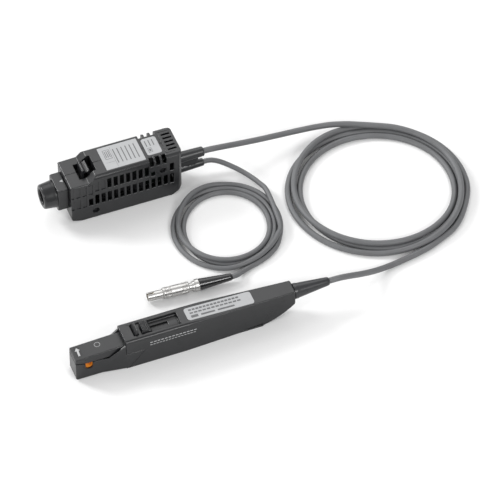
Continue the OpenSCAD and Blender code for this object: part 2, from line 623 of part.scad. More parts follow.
module plug_latch_sleeve() color(steel) along_plug()
    rotate_extrude() polygon(concat(
        [[stem_r + fit_gap, nose_len + slide_gap], [3.6, nose_len + slide_gap], [3.95, nose_len + 0.8]],
        groove_steps(3.95, nose_len + 2.2, 5, 0.8),
        [[4.05, nose_len + 7.2], [4.1, sleeve_end - 7]],
        groove_steps(4.1, sleeve_end - 5.6, 5, 0.8),
        [[4.0, sleeve_end - 0.8], [3.5, sleeve_end], [stem_r + fit_gap, sleeve_end]]));

// Square grooves round a sleeve of radius r, n of them, one every pitch
function groove_steps(r, z0, n, pitch) = [
    for (i = [0 : n - 1]) for (q = [[r, 0], [r - 0.25, 0.05], [r - 0.25, 0.4], [r, 0.45]]) [q[0], z0 + pitch * i + q[1]]
];

module plug_body() color(steel) along_plug() difference() {
    union() {
        translate([0, 0, 22.05]) cylinder(r = stem_r, h = boot_start + 1.5 - 22.05);
        translate([0, 0, sleeve_end + 2]) cylinder(r = 3.5, h = nut_start + 0.28 - sleeve_end - 2);
    }
    translate([0, 0, 21]) cylinder(r = 2.1, h = boot_start + 4 - 21);
}

module plug_nut() color(steel) along_plug() rotate_extrude() polygon([
    [stem_r + 0.02, nut_start + 0.3], [4, nut_start + 0.3], [4.4, nut_start + 0.7],
    [4.4, boot_start - 0.4], [4.1, boot_start], [stem_r + 0.02, boot_start]]);

module plug_boot() color(dark) along_plug() rotate_extrude() polygon([
    [stem_r + 0.02, boot_start + 0.02], [boot_r0, boot_start + 0.02], [boot_r0, boot_start + 2],
    [boot_r1, boot_end], [0, boot_end], [0, boot_start + 1.6], [stem_r + 0.02, boot_start + 1.6]]);

// ---------------------------------------------------------------- cords
// Both coils lie turned by this angle, and are slightly oval
lay_turn = -21.5;
signal_centre = [160.5, 5.1];
signal_radii = [58, 56.1];
power_centre = [50.7, 11.4];
power_radii = [33.3, 35.8];
coil_band = 1.7;
coil_layers = 2.25;

signal_lead_route = [[55.2, 68.15, 20], [61, 68.15, 19.7], [69, 68.6, 18.3], [83, 69.8, 15.2], [98, 71, 12.2],
    [113.5, 72, 9.8], [129, 72.3, 8.2], [143.5, 71.4, 7.4], [157.5, 68.2, 7.1]];
signal_tail_route = [[173, -57.2, 2.1], [163, -59.7, 2.1], [150, -62, 2.1], [140, -63.8, 2.7], [129, -66.6, 5.6],
    [118, -69.8, 10.4], [108.5, -72.2, 14.9], [100.5, -73.15, 17.2], [92, -73.15, 17.5]];
power_lead_route = [[55.2, 68.15, 9.2], [60.5, 67.9, 9], [66, 65.6, 7.9], [72, 60.8, 6.3], [77.5, 54.5, 5.2],
    [82, 47, 4.9], [85.5, 38.5, 5.1], [87.7, 28.5, 5.3]];
power_tail_route = [[48.5, -29.9, 2], [45, -31.6, 2.5], [40.8, -34.4, 4.1], [36.4, -35.2, 4.6]];

function unit(v) = v / norm(v);

// Points on a smooth curve through the route, with extra points in each stretch
function smooth(route, steps) = let (n = len(route) - 1) [
    for (i = [0 : n - 1]) for (j = [0 : steps - 1])
        let (t = j / steps, a = route[max(i - 1, 0)], b = route[i], c = route[i + 1], d = route[min(i + 2, n)])
            0.5 * (2 * b + (c - a) * t + (2 * a - 5 * b + 4 * c - d) * t * t + (3 * b - 3 * c + d - a) * t * t * t),
    route[n]
];

// Round tube along a route, as one closed solid with flat ends
module tube(route, d, sides, steps) {
    p = smooth(route, steps);
    n = len(p) - 1;
    rings = [for (i = [0 : n])
        let (t = unit(p[min(i + 1, n)] - p[max(i - 1, 0)]), s = unit(cross([0, 0, 1], t)), u = cross(t, s))
            for (k = [0 : sides - 1]) p[i] + d / 2 * (cos(360 * k / sides) * s + sin(360 * k / sides) * u)];
    walls = [for (i = [0 : n - 1]) for (k = [0 : sides - 1])
        let (a = i * sides + k, b = i * sides + (k + 1) % sides)
            for (f = [[a, a + sides, b], [b, a + sides, b + sides]]) f];
    polyhedron(rings, concat(walls, [[for (k = [0 : sides - 1]) k]],
        [[for (k = [sides - 1 : -1 : 0]) n * sides + k]]));
}

// Oval outline of a coil, drawn out by g
function oval(radii, g, n = 48) =
    [for (i = [0 : n - 1]) [(radii[0] + g) * cos(360 * i / n), (radii[1] + g) * sin(360 * i / n)]];

// Outer shape of a coiled cord lying flat
module coil_solid(centre, radii, d) translate([centre[0], centre[1], 0]) rotate([0, 0, lay_turn])
    linear_extrude(coil_layers * d) difference() {
        polygon(oval(radii, coil_band * d));
        polygon(oval(radii, -coil_band * d));
    }

module sensor_cord_lead() color(cord_grey) tube(signal_lead_route, signal_d, 10, 2);
module sensor_cord_coil() color(cord_grey) coil_solid(signal_centre, signal_radii, signal_d);
module sensor_cord_tail() color(cord_grey) tube(signal_tail_route, signal_d, 10, 2);
module power_cord_lead() color(cord_grey) tube(power_lead_route, power_d, 8, 2);
module power_cord_coil() color(cord_grey) coil_solid(power_centre, power_radii, power_d);
module power_cord_tail() color(cord_grey) tube(power_tail_route, power_d, 8, 1);

sensor_housing();
sensor_base();
base_screws();
lower_jaw();
lower_jaw_cover();
lower_core();
feedback_winding();
hall_element();
opening_liner();
upper_jaw();
upper_core();
upper_liner();
jaw_carriage();
opening_lever();
detent_leaf();
sensor_board();
sensor_board_parts();
sensor_shield();
sensor_label();
sensor_cord_clamp();
sensor_strain_relief();
terminator_shell_near();
terminator_shell_far();
shell_screws();
connector_block();
connector_collar();
connector_sleeve();
connector_insulator();
connector_pin();
lock_lever();
lock_latch();
lock_spring();
terminator_board();
board_parts();
amplifier_shield();
heat_sink();
vent_cover();
terminator_label_front();
terminator_label_rear();
twin_strain_relief();
sensor_cord_lead();
sensor_cord_coil();
sensor_cord_tail();
power_cord_lead();
power_cord_coil();
power_cord_tail();
plug_nose();
plug_insert();
plug_contacts();
plug_latch_sleeve();
plug_body();
plug_nut();
plug_boot();
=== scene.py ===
"""Looks of a clamp-on current probe: sensor head, terminator box, cords and power plug.

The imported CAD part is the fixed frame. Each sub-assembly is a class that finishes its own pieces.
Lengths inside the classes are in millimetres and are turned into metres where a mesh is made.
"""

import logging
import math
from collections.abc import Callable, Iterable, Sequence
from dataclasses import dataclass, field
from enum import Enum

import bmesh
import bpy
import numpy as np
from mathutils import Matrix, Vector


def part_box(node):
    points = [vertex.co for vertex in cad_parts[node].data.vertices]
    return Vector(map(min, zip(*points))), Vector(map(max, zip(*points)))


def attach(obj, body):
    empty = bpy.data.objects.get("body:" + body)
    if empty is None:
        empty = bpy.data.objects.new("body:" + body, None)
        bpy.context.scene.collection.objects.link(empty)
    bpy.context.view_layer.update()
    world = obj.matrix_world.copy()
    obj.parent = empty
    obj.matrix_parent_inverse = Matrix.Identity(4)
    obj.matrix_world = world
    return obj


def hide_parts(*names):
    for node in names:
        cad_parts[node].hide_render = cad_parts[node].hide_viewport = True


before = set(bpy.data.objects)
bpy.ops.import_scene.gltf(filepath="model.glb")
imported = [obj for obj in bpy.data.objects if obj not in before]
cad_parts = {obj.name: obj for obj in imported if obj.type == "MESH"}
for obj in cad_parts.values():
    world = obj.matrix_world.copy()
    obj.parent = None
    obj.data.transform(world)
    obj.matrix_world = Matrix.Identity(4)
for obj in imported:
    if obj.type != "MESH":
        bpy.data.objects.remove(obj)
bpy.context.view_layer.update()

LOG = logging.getLogger("probe")
MM = 0.001
Triple = tuple[float, float, float]
Pair = tuple[float, float]
EdgeTest = Callable[[bmesh.types.BMEdge], bool]

COAT_ROUGHNESS = 0.12
GRAIN_DETAIL = 3.0
MOTTLE_DETAIL = 5.0
MOTTLE_ROUGHNESS = 0.6
MOTTLE_RANGE = (0.32, 0.68)
GLOSS_RANGE = (0.3, 0.7)
JOIN_MM = 0.002
FLAT_DEG = 0.6
ROOM_SHARE = 2.1
CURVE_SAMPLES = 24
EIGHTH_DEG = 45
EIGHTH_SAMPLES = 3
SETTLE_ROUNDS = 160
SETTLE_PUSH = 0.22
SETTLE_KEEP = 0.8
SETTLE_SPREAD = 0.1
STRAND_GAP = 1.005
STRAND_APART = 4


# ------------------------------------------------------------------------------ finishes
class Slot(Enum):
    """Material slots of the record."""

    CASE = "case_plastic"
    DARK = "dark_plastic"
    SLEEVE = "sleeve_rubber"
    BOOT = "boot_rubber"
    CORE = "core_alloy"
    COPPER = "copper_wire"
    LINER = "orange_liner"
    BOARD = "board"
    COMPONENT = "component_black"
    SPRING = "spring_steel"
    SCREW = "screw_steel"
    LABEL = "label"
    ALUMINIUM = "aluminium"
    NICKEL = "nickel"
    WHITE = "white_insulator"
    GOLD = "gold_contact"
    INSERT = "contact_insulator"
    CORD = "cord_jacket"
    PRINT_DARK = "print_dark"
    PRINT_WHITE = "print_white"


@dataclass(frozen=True)
class Finish:
    """How one material of the probe looks: its colours, gloss and surface grain."""

    slot: Slot
    colour: Triple
    mottle: Triple
    roughness: Pair
    metallic: float = 0.0
    specular: float = 0.5
    coat: float = 0.0
    grain_mm: float = 0.35
    grain_depth_mm: float = 0.005
    mottle_mm: float = 7.0
    stretch: Triple = (1.0, 1.0, 1.0)

    def material(self) -> bpy.types.Material:
        """Makes this finish's material once and returns it.

        Returns:
            The node-based material.
        """
        name = "finish_" + self.slot.value
        found = bpy.data.materials.get(name)
        if found:
            return found
        made = bpy.data.materials.new(name)
        made.use_nodes = True
        tree = made.node_tree
        shader = tree.nodes["Principled BSDF"]
        shader.inputs["Metallic"].default_value = self.metallic
        shader.inputs["Specular IOR Level"].default_value = self.specular
        shader.inputs["Coat Weight"].default_value = self.coat
        shader.inputs["Coat Roughness"].default_value = COAT_ROUGHNESS
        place = tree.nodes.new("ShaderNodeTexCoord")
        scaled = tree.nodes.new("ShaderNodeMapping")
        scaled.inputs["Scale"].default_value = self.stretch
        tree.links.new(place.outputs["Object"], scaled.inputs["Vector"])
        self._grain(tree, scaled, shader)
        self._mottling(tree, place, shader)
        made.diffuse_color = (*self.colour, 1.0)
        return made

    def _grain(self, tree: bpy.types.NodeTree, scaled: bpy.types.Node, shader: bpy.types.Node) -> None:
        """Adds the fine relief of the surface.

        Args:
            tree: Node tree of the material.
            scaled: Node that gives the stretched coordinates.
            shader: Principled shader that takes the relief.
        """
        noise = tree.nodes.new("ShaderNodeTexNoise")
        noise.inputs["Scale"].default_value = 1 / (self.grain_mm * MM)
        noise.inputs["Detail"].default_value = GRAIN_DETAIL
        tree.links.new(scaled.outputs["Vector"], noise.inputs["Vector"])
        bump = tree.nodes.new("ShaderNodeBump")
        bump.inputs["Strength"].default_value = 1.0
        bump.inputs["Distance"].default_value = self.grain_depth_mm * MM
        tree.links.new(noise.outputs["Fac"], bump.inputs["Height"])
        tree.links.new(bump.outputs["Normal"], shader.inputs["Normal"])

    def _mottling(self, tree: bpy.types.NodeTree, place: bpy.types.Node, shader: bpy.types.Node) -> None:
        """Adds the slow drift of colour and gloss over the surface.

        Args:
            tree: Node tree of the material.
            place: Node that gives the plain coordinates.
            shader: Principled shader that takes colour and roughness.
        """
        noise = tree.nodes.new("ShaderNodeTexNoise")
        noise.inputs["Scale"].default_value = 1 / (self.mottle_mm * MM)
        noise.inputs["Detail"].default_value = MOTTLE_DETAIL
        noise.inputs["Roughness"].default_value = MOTTLE_ROUGHNESS
        tree.links.new(place.outputs["Object"], noise.inputs["Vector"])
        ramp = tree.nodes.new("ShaderNodeValToRGB")
        for stop, position, colour in zip(ramp.color_ramp.elements, MOTTLE_RANGE, (self.colour, self.mottle)):
            stop.position = position
            stop.color = (*colour, 1.0)
        tree.links.new(noise.outputs["Fac"], ramp.inputs["Fac"])
        tree.links.new(ramp.outputs["Color"], shader.inputs["Base Color"])
        gloss = tree.nodes.new("ShaderNodeMapRange")
        limits = (*GLOSS_RANGE, *self.roughness)
        for socket, value in zip(("From Min", "From Max", "To Min", "To Max"), limits):
            gloss.inputs[socket].default_value = value
        tree.links.new(noise.outputs["Fac"], gloss.inputs["Value"])
        tree.links.new(gloss.outputs["Result"], shader.inputs["Roughness"])


CASE = Finish(Slot.CASE, (0.008, 0.0085, 0.0095), (0.012, 0.0125, 0.014), (0.27, 0.37),
              grain_depth_mm=0.006)
DARK = Finish(Slot.DARK, (0.007, 0.007, 0.008), (0.011, 0.011, 0.012), (0.35, 0.45))
SLEEVE = Finish(Slot.SLEEVE, (0.018, 0.019, 0.021), (0.025, 0.026, 0.028), (0.26, 0.36),
                grain_mm=0.5, grain_depth_mm=0.004)
BOOT = Finish(Slot.BOOT, (0.008, 0.008, 0.009), (0.013, 0.013, 0.014), (0.18, 0.28),
              coat=0.2, grain_mm=0.8)
CORE = Finish(Slot.CORE, (0.32, 0.32, 0.34), (0.4, 0.4, 0.41), (0.3, 0.45), 1.0, stretch=(1, 12, 1))
COPPER = Finish(Slot.COPPER, (0.6, 0.27, 0.11), (0.66, 0.33, 0.16), (0.25, 0.35), 1.0, stretch=(8, 1, 1))
LINER = Finish(Slot.LINER, (0.88, 0.36, 0.035), (0.93, 0.42, 0.06), (0.35, 0.45))
BOARD = Finish(Slot.BOARD, (0.006, 0.010, 0.008), (0.009, 0.014, 0.011), (0.3, 0.42),
               coat=0.1, mottle_mm=2.0)
COMPONENT = Finish(Slot.COMPONENT, (0.012, 0.012, 0.013), (0.02, 0.02, 0.021), (0.5, 0.65))
SPRING = Finish(Slot.SPRING, (0.03, 0.03, 0.032), (0.045, 0.045, 0.048), (0.42, 0.54),
                0.5, stretch=(1, 10, 1))
SCREW = Finish(Slot.SCREW, (0.07, 0.07, 0.075), (0.1, 0.1, 0.105), (0.3, 0.42), 0.8)
LABEL = Finish(Slot.LABEL, (0.33, 0.335, 0.342), (0.37, 0.375, 0.382), (0.34, 0.44),
               0.2, grain_depth_mm=0.003)
ALUMINIUM = Finish(Slot.ALUMINIUM, (0.012, 0.012, 0.013), (0.02, 0.02, 0.021), (0.45, 0.57),
                   0.3, stretch=(1, 14, 14))
NICKEL = Finish(Slot.NICKEL, (0.5, 0.495, 0.485), (0.58, 0.572, 0.56), (0.32, 0.42),
                1.0, grain_depth_mm=0.003)
WHITE = Finish(Slot.WHITE, (0.78, 0.77, 0.73), (0.84, 0.83, 0.8), (0.4, 0.5))
GOLD = Finish(Slot.GOLD, (0.83, 0.6, 0.22), (0.9, 0.68, 0.3), (0.16, 0.26), 1.0)
INSERT = Finish(Slot.INSERT, (0.68, 0.6, 0.4), (0.74, 0.66, 0.46), (0.4, 0.5))
CORD = Finish(Slot.CORD, (0.112, 0.114, 0.118), (0.132, 0.135, 0.14), (0.42, 0.52),
              grain_mm=0.6, mottle_mm=12.0)
PRINT_DARK = Finish(Slot.PRINT_DARK, (0.09, 0.091, 0.094), (0.12, 0.121, 0.124), (0.45, 0.55))
PRINT_WHITE = Finish(Slot.PRINT_WHITE, (0.4, 0.405, 0.41), (0.45, 0.455, 0.46), (0.45, 0.55))

HIDDEN_NODES: dict[str, Finish] = {
    "base_screws": SCREW, "lower_jaw_cover": DARK, "lower_core": CORE, "feedback_winding": COPPER,
    "hall_element": COMPONENT, "upper_core": CORE, "upper_liner": LINER, "jaw_carriage": DARK,
    "detent_leaf": SPRING, "sensor_board": BOARD, "sensor_board_parts": COMPONENT,
    "sensor_shield": SPRING, "sensor_cord_clamp": SPRING, "shell_screws": SCREW,
    "connector_insulator": WHITE, "connector_pin": GOLD, "lock_latch": SPRING, "lock_spring": SPRING,
    "terminator_board": BOARD, "board_parts": COMPONENT, "amplifier_shield": SPRING,
    "heat_sink": ALUMINIUM, "plug_insert": INSERT, "plug_contacts": GOLD,
}


# ------------------------------------------------------------------------------ mesh work
def centre_of(node: str) -> Vector:
    """Middle of a CAD node's box."""
    low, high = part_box(node)
    return (low + high) / 2


class Form:
    """A mesh in the making, with the cuts and rounded edges that the pieces share."""

    def __init__(self) -> None:
        """Starts an empty mesh."""
        self.bm = bmesh.new()

    @classmethod
    def of_node(cls, node: str) -> "Form":
        """Copies a CAD node's mesh, with its flat triangles joined into whole faces.

        Args:
            node: Name of the CAD node.

        Returns:
            The new form.
        """
        form = cls()
        form.bm.from_mesh(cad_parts[node].data)
        bmesh.ops.remove_doubles(form.bm, verts=form.bm.verts[:], dist=JOIN_MM * MM)
        bmesh.ops.dissolve_limit(form.bm, angle_limit=math.radians(FLAT_DEG), use_dissolve_boundaries=False,
                                 verts=form.bm.verts[:], edges=form.bm.edges[:], delimit=set())
        return form

    def prism(self, outline: Sequence[Triple], along: Triple) -> "Form":
        """Adds a solid: a flat outline carried along a direction.

        Args:
            outline: Corners in millimetres.
            along: Depth and direction in millimetres.

        Returns:
            This form.
        """
        low = [self.bm.verts.new(Vector(p) * MM) for p in outline]
        high = [self.bm.verts.new((Vector(p) + Vector(along)) * MM) for p in outline]
        self.bm.faces.new(low[::-1])
        self.bm.faces.new(high)
        for i, point in enumerate(low):
            j = (i + 1) % len(low)
            self.bm.faces.new((point, low[j], high[j], high[i]))
        return self

    def rings(self, rings: Sequence[Sequence[Vector]], closed: bool = False) -> "Form":
        """Adds a skin over rings of points, capped at both ends unless it closes on itself.

        Args:
            rings: Rings with the same number of points each, in metres.
            closed: Whether the last ring joins the first.

        Returns:
            This form.
        """
        made = [[self.bm.verts.new(p) for p in ring] for ring in rings]
        count = len(made[0])
        for a, b in zip(made, made[1:] + (made[:1] if closed else [])):
            for i in range(count):
                j = (i + 1) % count
                self.bm.faces.new((a[i], a[j], b[j], b[i]))
        if not closed:
            self.bm.faces.new(made[0][::-1])
            self.bm.faces.new(made[-1])
        return self

    def revolve(self, profile: Sequence[Pair], start: Vector, axis: Vector, steps: int = 96,
                closed: bool = False, relief: Callable[[int, int], float] | None = None) -> "Form":
        """Adds a turned shape.

        Args:
            profile: (distance along the axis, radius) pairs in millimetres.
            start: Where the axis starts, in metres.
            axis: Direction of the axis.
            steps: Points round each ring.
            closed: Whether the profile closes on itself, as on a tube.
            relief: Millimetres to add to the radius, from the profile's and the ring's counts.

        Returns:
            This form.
        """
        n = axis.normalized()
        u = n.orthogonal().normalized()
        v = n.cross(u)
        turned = []
        for i, (along, radius) in enumerate(profile):
            ring = []
            for k in range(steps):
                r = (radius + (relief(i, k) if relief else 0.0)) * MM
                turn = 2 * math.pi * k / steps
                ring.append(start + n * (along * MM) + u * (r * math.cos(turn)) + v * (r * math.sin(turn)))
            turned.append(ring)
        return self.rings(turned, closed)

    def between(self, low: float, high: float) -> "Form":
        """Fits the mesh between two planes across Y.

        Args:
            low: Where the lower plane is, in metres.
            high: Where the higher plane is.

        Returns:
            This form.
        """
        start = min(vert.co.y for vert in self.bm.verts)
        share = (high - low) / (max(vert.co.y for vert in self.bm.verts) - start)
        for vert in self.bm.verts:
            vert.co.y = low + (vert.co.y - start) * share
        return self

    def soften(self, width: float, segments: int = 2, angle: float = 34.0,
               where: EdgeTest | None = None) -> "Form":
        """Rounds the sharp edges whose faces have room for it, and keeps the mesh within its own box.

        Args:
            width: Width of the rounding in millimetres.
            segments: Facets across the rounding.
            angle: Least angle between the two faces, in degrees.
            where: Picks the edges; all sharp ones if left out.

        Returns:
            This form.
        """
        self.bm.normal_update()
        room = ROOM_SHARE * width * MM
        chosen = []
        for edge in self.bm.edges:
            if len(edge.link_faces) != 2 or edge.calc_face_angle(0.0) < math.radians(angle):
                continue
            if where is not None and not where(edge):
                continue
            if min(self._depth(face, edge) for face in edge.link_faces) >= room:
                chosen.append(edge)
        if chosen:
            spans = [[pick(vert.co[axis] for vert in self.bm.verts) for pick in (min, max)]
                     for axis in range(3)]
            bmesh.ops.bevel(self.bm, geom=chosen, offset=width * MM, offset_type="OFFSET",
                            segments=segments, profile=0.5, affect="EDGES", clamp_overlap=False,
                            loop_slide=True)
            for vert in self.bm.verts:
                vert.co = [min(max(value, low), high) for value, (low, high) in zip(vert.co, spans)]
        return self

    @staticmethod
    def _depth(face: bmesh.types.BMFace, edge: bmesh.types.BMEdge) -> float:
        """How far a face reaches from one of its edges, in metres."""
        start = edge.verts[0].co
        along = (edge.verts[1].co - start).normalized()
        return max((vert.co - start).cross(along).length for vert in face.verts)

    def finish(self, name: str, look: Finish, body: str = "root", nodes: Iterable[str] = (),
               smooth: float = 36.0) -> bpy.types.Object:
        """Turns the form into a dressed piece that rides on a body.

        Args:
            name: Name of the piece.
            look: Its finish.
            body: CAD body that it moves with.
            nodes: CAD nodes that it stands for.
            smooth: Angle in degrees below which faces shade as one surface.

        Returns:
            The new object.
        """
        bmesh.ops.recalc_face_normals(self.bm, faces=self.bm.faces[:])
        rough = bpy.data.meshes.new(name + "_rough")
        self.bm.to_mesh(rough)
        self.bm.free()
        rough.polygons.foreach_set("use_smooth", [True] * len(rough.polygons))
        rough.set_sharp_from_angle(angle=math.radians(smooth))
        piece = bpy.data.objects.new(name, rough)
        bpy.context.scene.collection.objects.link(piece)
        normals = piece.modifiers.new("even_normals", "WEIGHTED_NORMAL")
        normals.keep_sharp = True
        normals.weight = 60
        evaluated = piece.evaluated_get(bpy.context.evaluated_depsgraph_get())
        piece.data = bpy.data.meshes.new_from_object(evaluated)
        piece.data.name = name
        piece.modifiers.clear()
        bpy.data.meshes.remove(rough)
        return dress(piece, look, body, nodes)


def dress(piece: bpy.types.Object, look: Finish, body: str, nodes: Iterable[str] = ()) -> bpy.types.Object:
    """Gives a piece its finish, its body and the CAD nodes that it stands for.

    Args:
        piece: The new object.
        look: Its finish.
        body: CAD body that it moves with.
        nodes: CAD nodes that it stands for.

    Returns:
        The same object.
    """
    piece.data.materials.clear()
    piece.data.materials.append(look.material())
    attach(piece, body)
    stood_for = list(nodes)
    if stood_for:
        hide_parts(*stood_for)
    LOG.info("%s: %s on %s", piece.name, look.slot.value, body)
    return piece


@dataclass(frozen=True)
class Sheet:
    """A flat area that takes printed marks: its corner, its two directions and its outward one."""

    origin: Vector
    u: Vector
    v: Vector

    def prints(self, name: str, shapes: Sequence[Sequence[Pair]], look: Finish, body: str,
               lift: float = 0.02, thick: float = 0.05) -> bpy.types.Object:
        """Makes printed marks as one thin piece.

        Args:
            name: Name of the piece.
            shapes: Outlines in millimetres along u and v.
            look: Finish of the ink.
            body: CAD body that it moves with.
            lift: How far the ink stands above the sheet, in millimetres.
            thick: Depth of each mark, in millimetres.

        Returns:
            The new object.
        """
        out = self.u.cross(self.v).normalized()
        form = Form()
        for shape in shapes:
            corners = [self.origin / MM + self.u * a + self.v * b + out * (lift - thick) for a, b in shape]
            form.prism([tuple(c) for c in corners], tuple(out * thick))
        return form.finish(name, look, body)


def bar(a0: float, b0: float, a1: float, b1: float) -> list[Pair]:
    """Corners of an upright rectangle."""
    return [(a0, b0), (a1, b0), (a1, b1), (a0, b1)]


def outlined(a0: float, b0: float, a1: float, b1: float, line: float) -> list[list[Pair]]:
    """Four bars that outline a rectangle.

    Args:
        a0: Low end along u, in millimetres.
        b0: Low end along v.
        a1: High end along u.
        b1: High end along v.
        line: Width of the line.

    Returns:
        The bars' outlines.
    """
    return [bar(a0, b0, a1, b0 + line), bar(a0, b1 - line, a1, b1),
            bar(a0, b0 + line, a0 + line, b1 - line), bar(a1 - line, b0 + line, a1, b1 - line)]


def ring_marks(middle: Pair, inner: float, outer: float, steps: int = 24) -> list[list[Pair]]:
    """Outlines of short strokes that make a thin ring.

    Args:
        middle: Centre of the ring, in millimetres.
        inner: Inner radius.
        outer: Outer radius.
        steps: How many strokes there are.

    Returns:
        One outline a stroke.
    """
    strokes = []
    for k in range(steps):
        a, b = (2 * math.pi * (k + end) / steps for end in (0.0, 1.0))
        strokes.append([(middle[0] + r * math.cos(t), middle[1] + r * math.sin(t))
                        for r, t in ((inner, a), (outer, a), (outer, b), (inner, b))])
    return strokes


# ------------------------------------------------------------------------------ studio
@dataclass(frozen=True)
class Softbox:
    """A square light that faces the object, with its place and side in metres and its watts."""

    name: str
    place: Triple
    size: float
    power: float

    def hang(self) -> None:
        """Hangs the light."""
        data = bpy.data.lights.new(self.name, "AREA")
        data.size = self.size
        data.energy = self.power
        light = bpy.data.objects.new(self.name, data)
        light.location = self.place
        light.rotation_euler = Vector(self.place).to_track_quat("Z", "Y").to_euler()
        bpy.context.scene.collection.objects.link(light)


SOFTBOXES = (
    Softbox("back_softbox", (0.42, 1.0, 1.25), 1.2, 8.0),
    Softbox("left_softbox", (-0.95, 1.05, 0.95), 0.45, 16.0),
    Softbox("front_softbox", (0.37, -1.2, 0.93), 0.42, 8.0),
    Softbox("corner_softbox", (-1.2, -0.5, 0.62), 0.3, 5.0),
)


@dataclass
class Studio:
    """Camera, floor and lights."""

    azimuth: float = -21.45
    elevation: float = 48.19
    distance: float = 2.7443
    lens: float = 288.0
    target: Triple = (0.0584, -0.0131, 0.0)
    sensor_width: float = 36.0
    far_clip: float = 20.0
    paper: float = 0.86
    paper_roughness: float = 0.9
    paper_specular: float = 0.1
    air: float = 0.62

    def build(self) -> None:
        """Makes the camera, the floor and the lights."""
        bpy.context.scene.view_settings.view_transform = "Standard"
        self._camera()
        self._floor()
        self._lights()

    def _camera(self) -> None:
        """Sets the camera at the viewing angle."""
        data = bpy.data.cameras.new("view_camera")
        data.lens = self.lens
        data.sensor_width = self.sensor_width
        data.clip_end = self.far_clip
        camera = bpy.data.objects.new("view_camera", data)
        bpy.context.scene.collection.objects.link(camera)
        a, e = math.radians(self.azimuth), math.radians(self.elevation)
        back = Vector((math.sin(a) * math.cos(e), -math.cos(a) * math.cos(e), math.sin(e)))
        camera.location = Vector(self.target) + back * self.distance
        camera.rotation_euler = back.to_track_quat("Z", "Y").to_euler()
        bpy.context.scene.camera = camera

    def _floor(self) -> None:
        """Lays a plain pale floor."""
        mesh = bpy.data.meshes.new("studio_floor")
        reach = 6.0
        corners = [(-reach, -reach, 0), (reach, -reach, 0), (reach, reach, 0), (-reach, reach, 0)]
        mesh.from_pydata(corners, [], [(0, 1, 2, 3)])
        floor = bpy.data.objects.new("studio_floor", mesh)
        bpy.context.scene.collection.objects.link(floor)
        made = bpy.data.materials.new("studio_paper")
        made.use_nodes = True
        shader = made.node_tree.nodes["Principled BSDF"]
        shader.inputs["Base Color"].default_value = (self.paper, self.paper, self.paper, 1.0)
        shader.inputs["Roughness"].default_value = self.paper_roughness
        shader.inputs["Specular IOR Level"].default_value = self.paper_specular
        mesh.materials.append(made)

    def _lights(self) -> None:
        """Hangs soft lights above and round the object."""
        world = bpy.data.worlds.new("studio_air")
        world.use_nodes = True
        sky = world.node_tree.nodes["Background"]
        sky.inputs["Color"].default_value = (1.0, 1.0, 1.0, 1.0)
        sky.inputs["Strength"].default_value = self.air
        bpy.context.scene.world = world
        for box in SOFTBOXES:
            box.hang()


# ------------------------------------------------------------------------------ cords
def spline(points: np.ndarray, step: float) -> np.ndarray:
    """A smooth curve through points, sampled evenly.

    Args:
        points: Points to pass through, one a row.
        step: Distance between samples.

    Returns:
        The samples, first and last point among them.
    """
    ends = np.vstack([2 * points[0] - points[1], points, 2 * points[-1] - points[-2]])
    fine = []
    for a, b, c, d in zip(ends, ends[1:], ends[2:], ends[3:]):
        t = np.linspace(0, 1, CURVE_SAMPLES, endpoint=False)[:, None]
        fine.append(0.5 * (2 * b + (c - a) * t + (2 * a - 5 * b + 4 * c - d) * t**2
                           + (3 * b - 3 * c + d - a) * t**3))
    line = np.vstack(fine + [points[-1:]])
    run = np.concatenate([[0], np.cumsum(np.linalg.norm(np.diff(line, axis=0), axis=1))])
    at = np.linspace(0, run[-1], max(8, round(run[-1] / step)))
    return np.stack([np.interp(at, run, line[:, k]) for k in range(3)], axis=1)


@dataclass(frozen=True)
class Coil:
    """A flat coil of about three turns, seen from above and counted clockwise from its far side.

    The turn list gives (outward shift, height) in cord diameters, every eighth of a turn.
    """

    centre: Pair
    radii: Pair
    turns: tuple[Pair, ...]
    first: int
    turned: float = -21.5

    def points(self, diameter: float) -> list[Triple]:
        """Points along the turns, in millimetres.

        Args:
            diameter: Diameter of the cord.

        Returns:
            Points at even angles, 24 a turn.
        """
        a = math.radians(self.turned)
        across = np.array([math.cos(a), math.sin(a)])
        away = np.array([-math.sin(a), math.cos(a)])
        made = []
        count = len(self.turns)
        for k in range(EIGHTH_SAMPLES * (count - 1) + 1):
            i, t = divmod(k / EIGHTH_SAMPLES, 1)
            i = int(i)
            p, q, r, s = (np.array(self.turns[min(max(i + step, 0), count - 1)]) for step in (-1, 0, 1, 2))
            shift, height = 0.5 * (2 * q + (r - p) * t + (2 * p - 5 * q + 4 * r - s) * t**2
                                   + (3 * q - 3 * r + s - p) * t**3)
            turn = math.radians(EIGHTH_DEG * self.first + EIGHTH_DEG // EIGHTH_SAMPLES * k)
            flat = (np.array(self.centre) + across * (self.radii[0] + shift * diameter) * math.sin(turn)
                    + away * (self.radii[1] + shift * diameter) * math.cos(turn))
            made.append((flat[0], flat[1], max(height, 0.5) * diameter))
        return made


TURNS_UNDER: tuple[Pair, ...] = (
    (0.55, 1.1), (0.75, 0.5), (0.95, 0.5), (1.0, 0.5), (0.5, 0.5),
    (0.0, 0.5), (0.0, 0.5), (0.0, 0.5), (-0.1, 0.5), (-0.3, 0.5), (-0.7, 0.5), (-1.0, 0.5), (-1.0, 0.5),
    (-1.0, 0.5), (-1.0, 0.5), (-1.0, 0.5), (-0.85, 0.9), (-0.6, 1.4), (-0.35, 1.45), (0.0, 1.0), (0.5, 1.45),
    (1.0, 0.5), (1.05, 0.5), (1.1, 0.5),
)


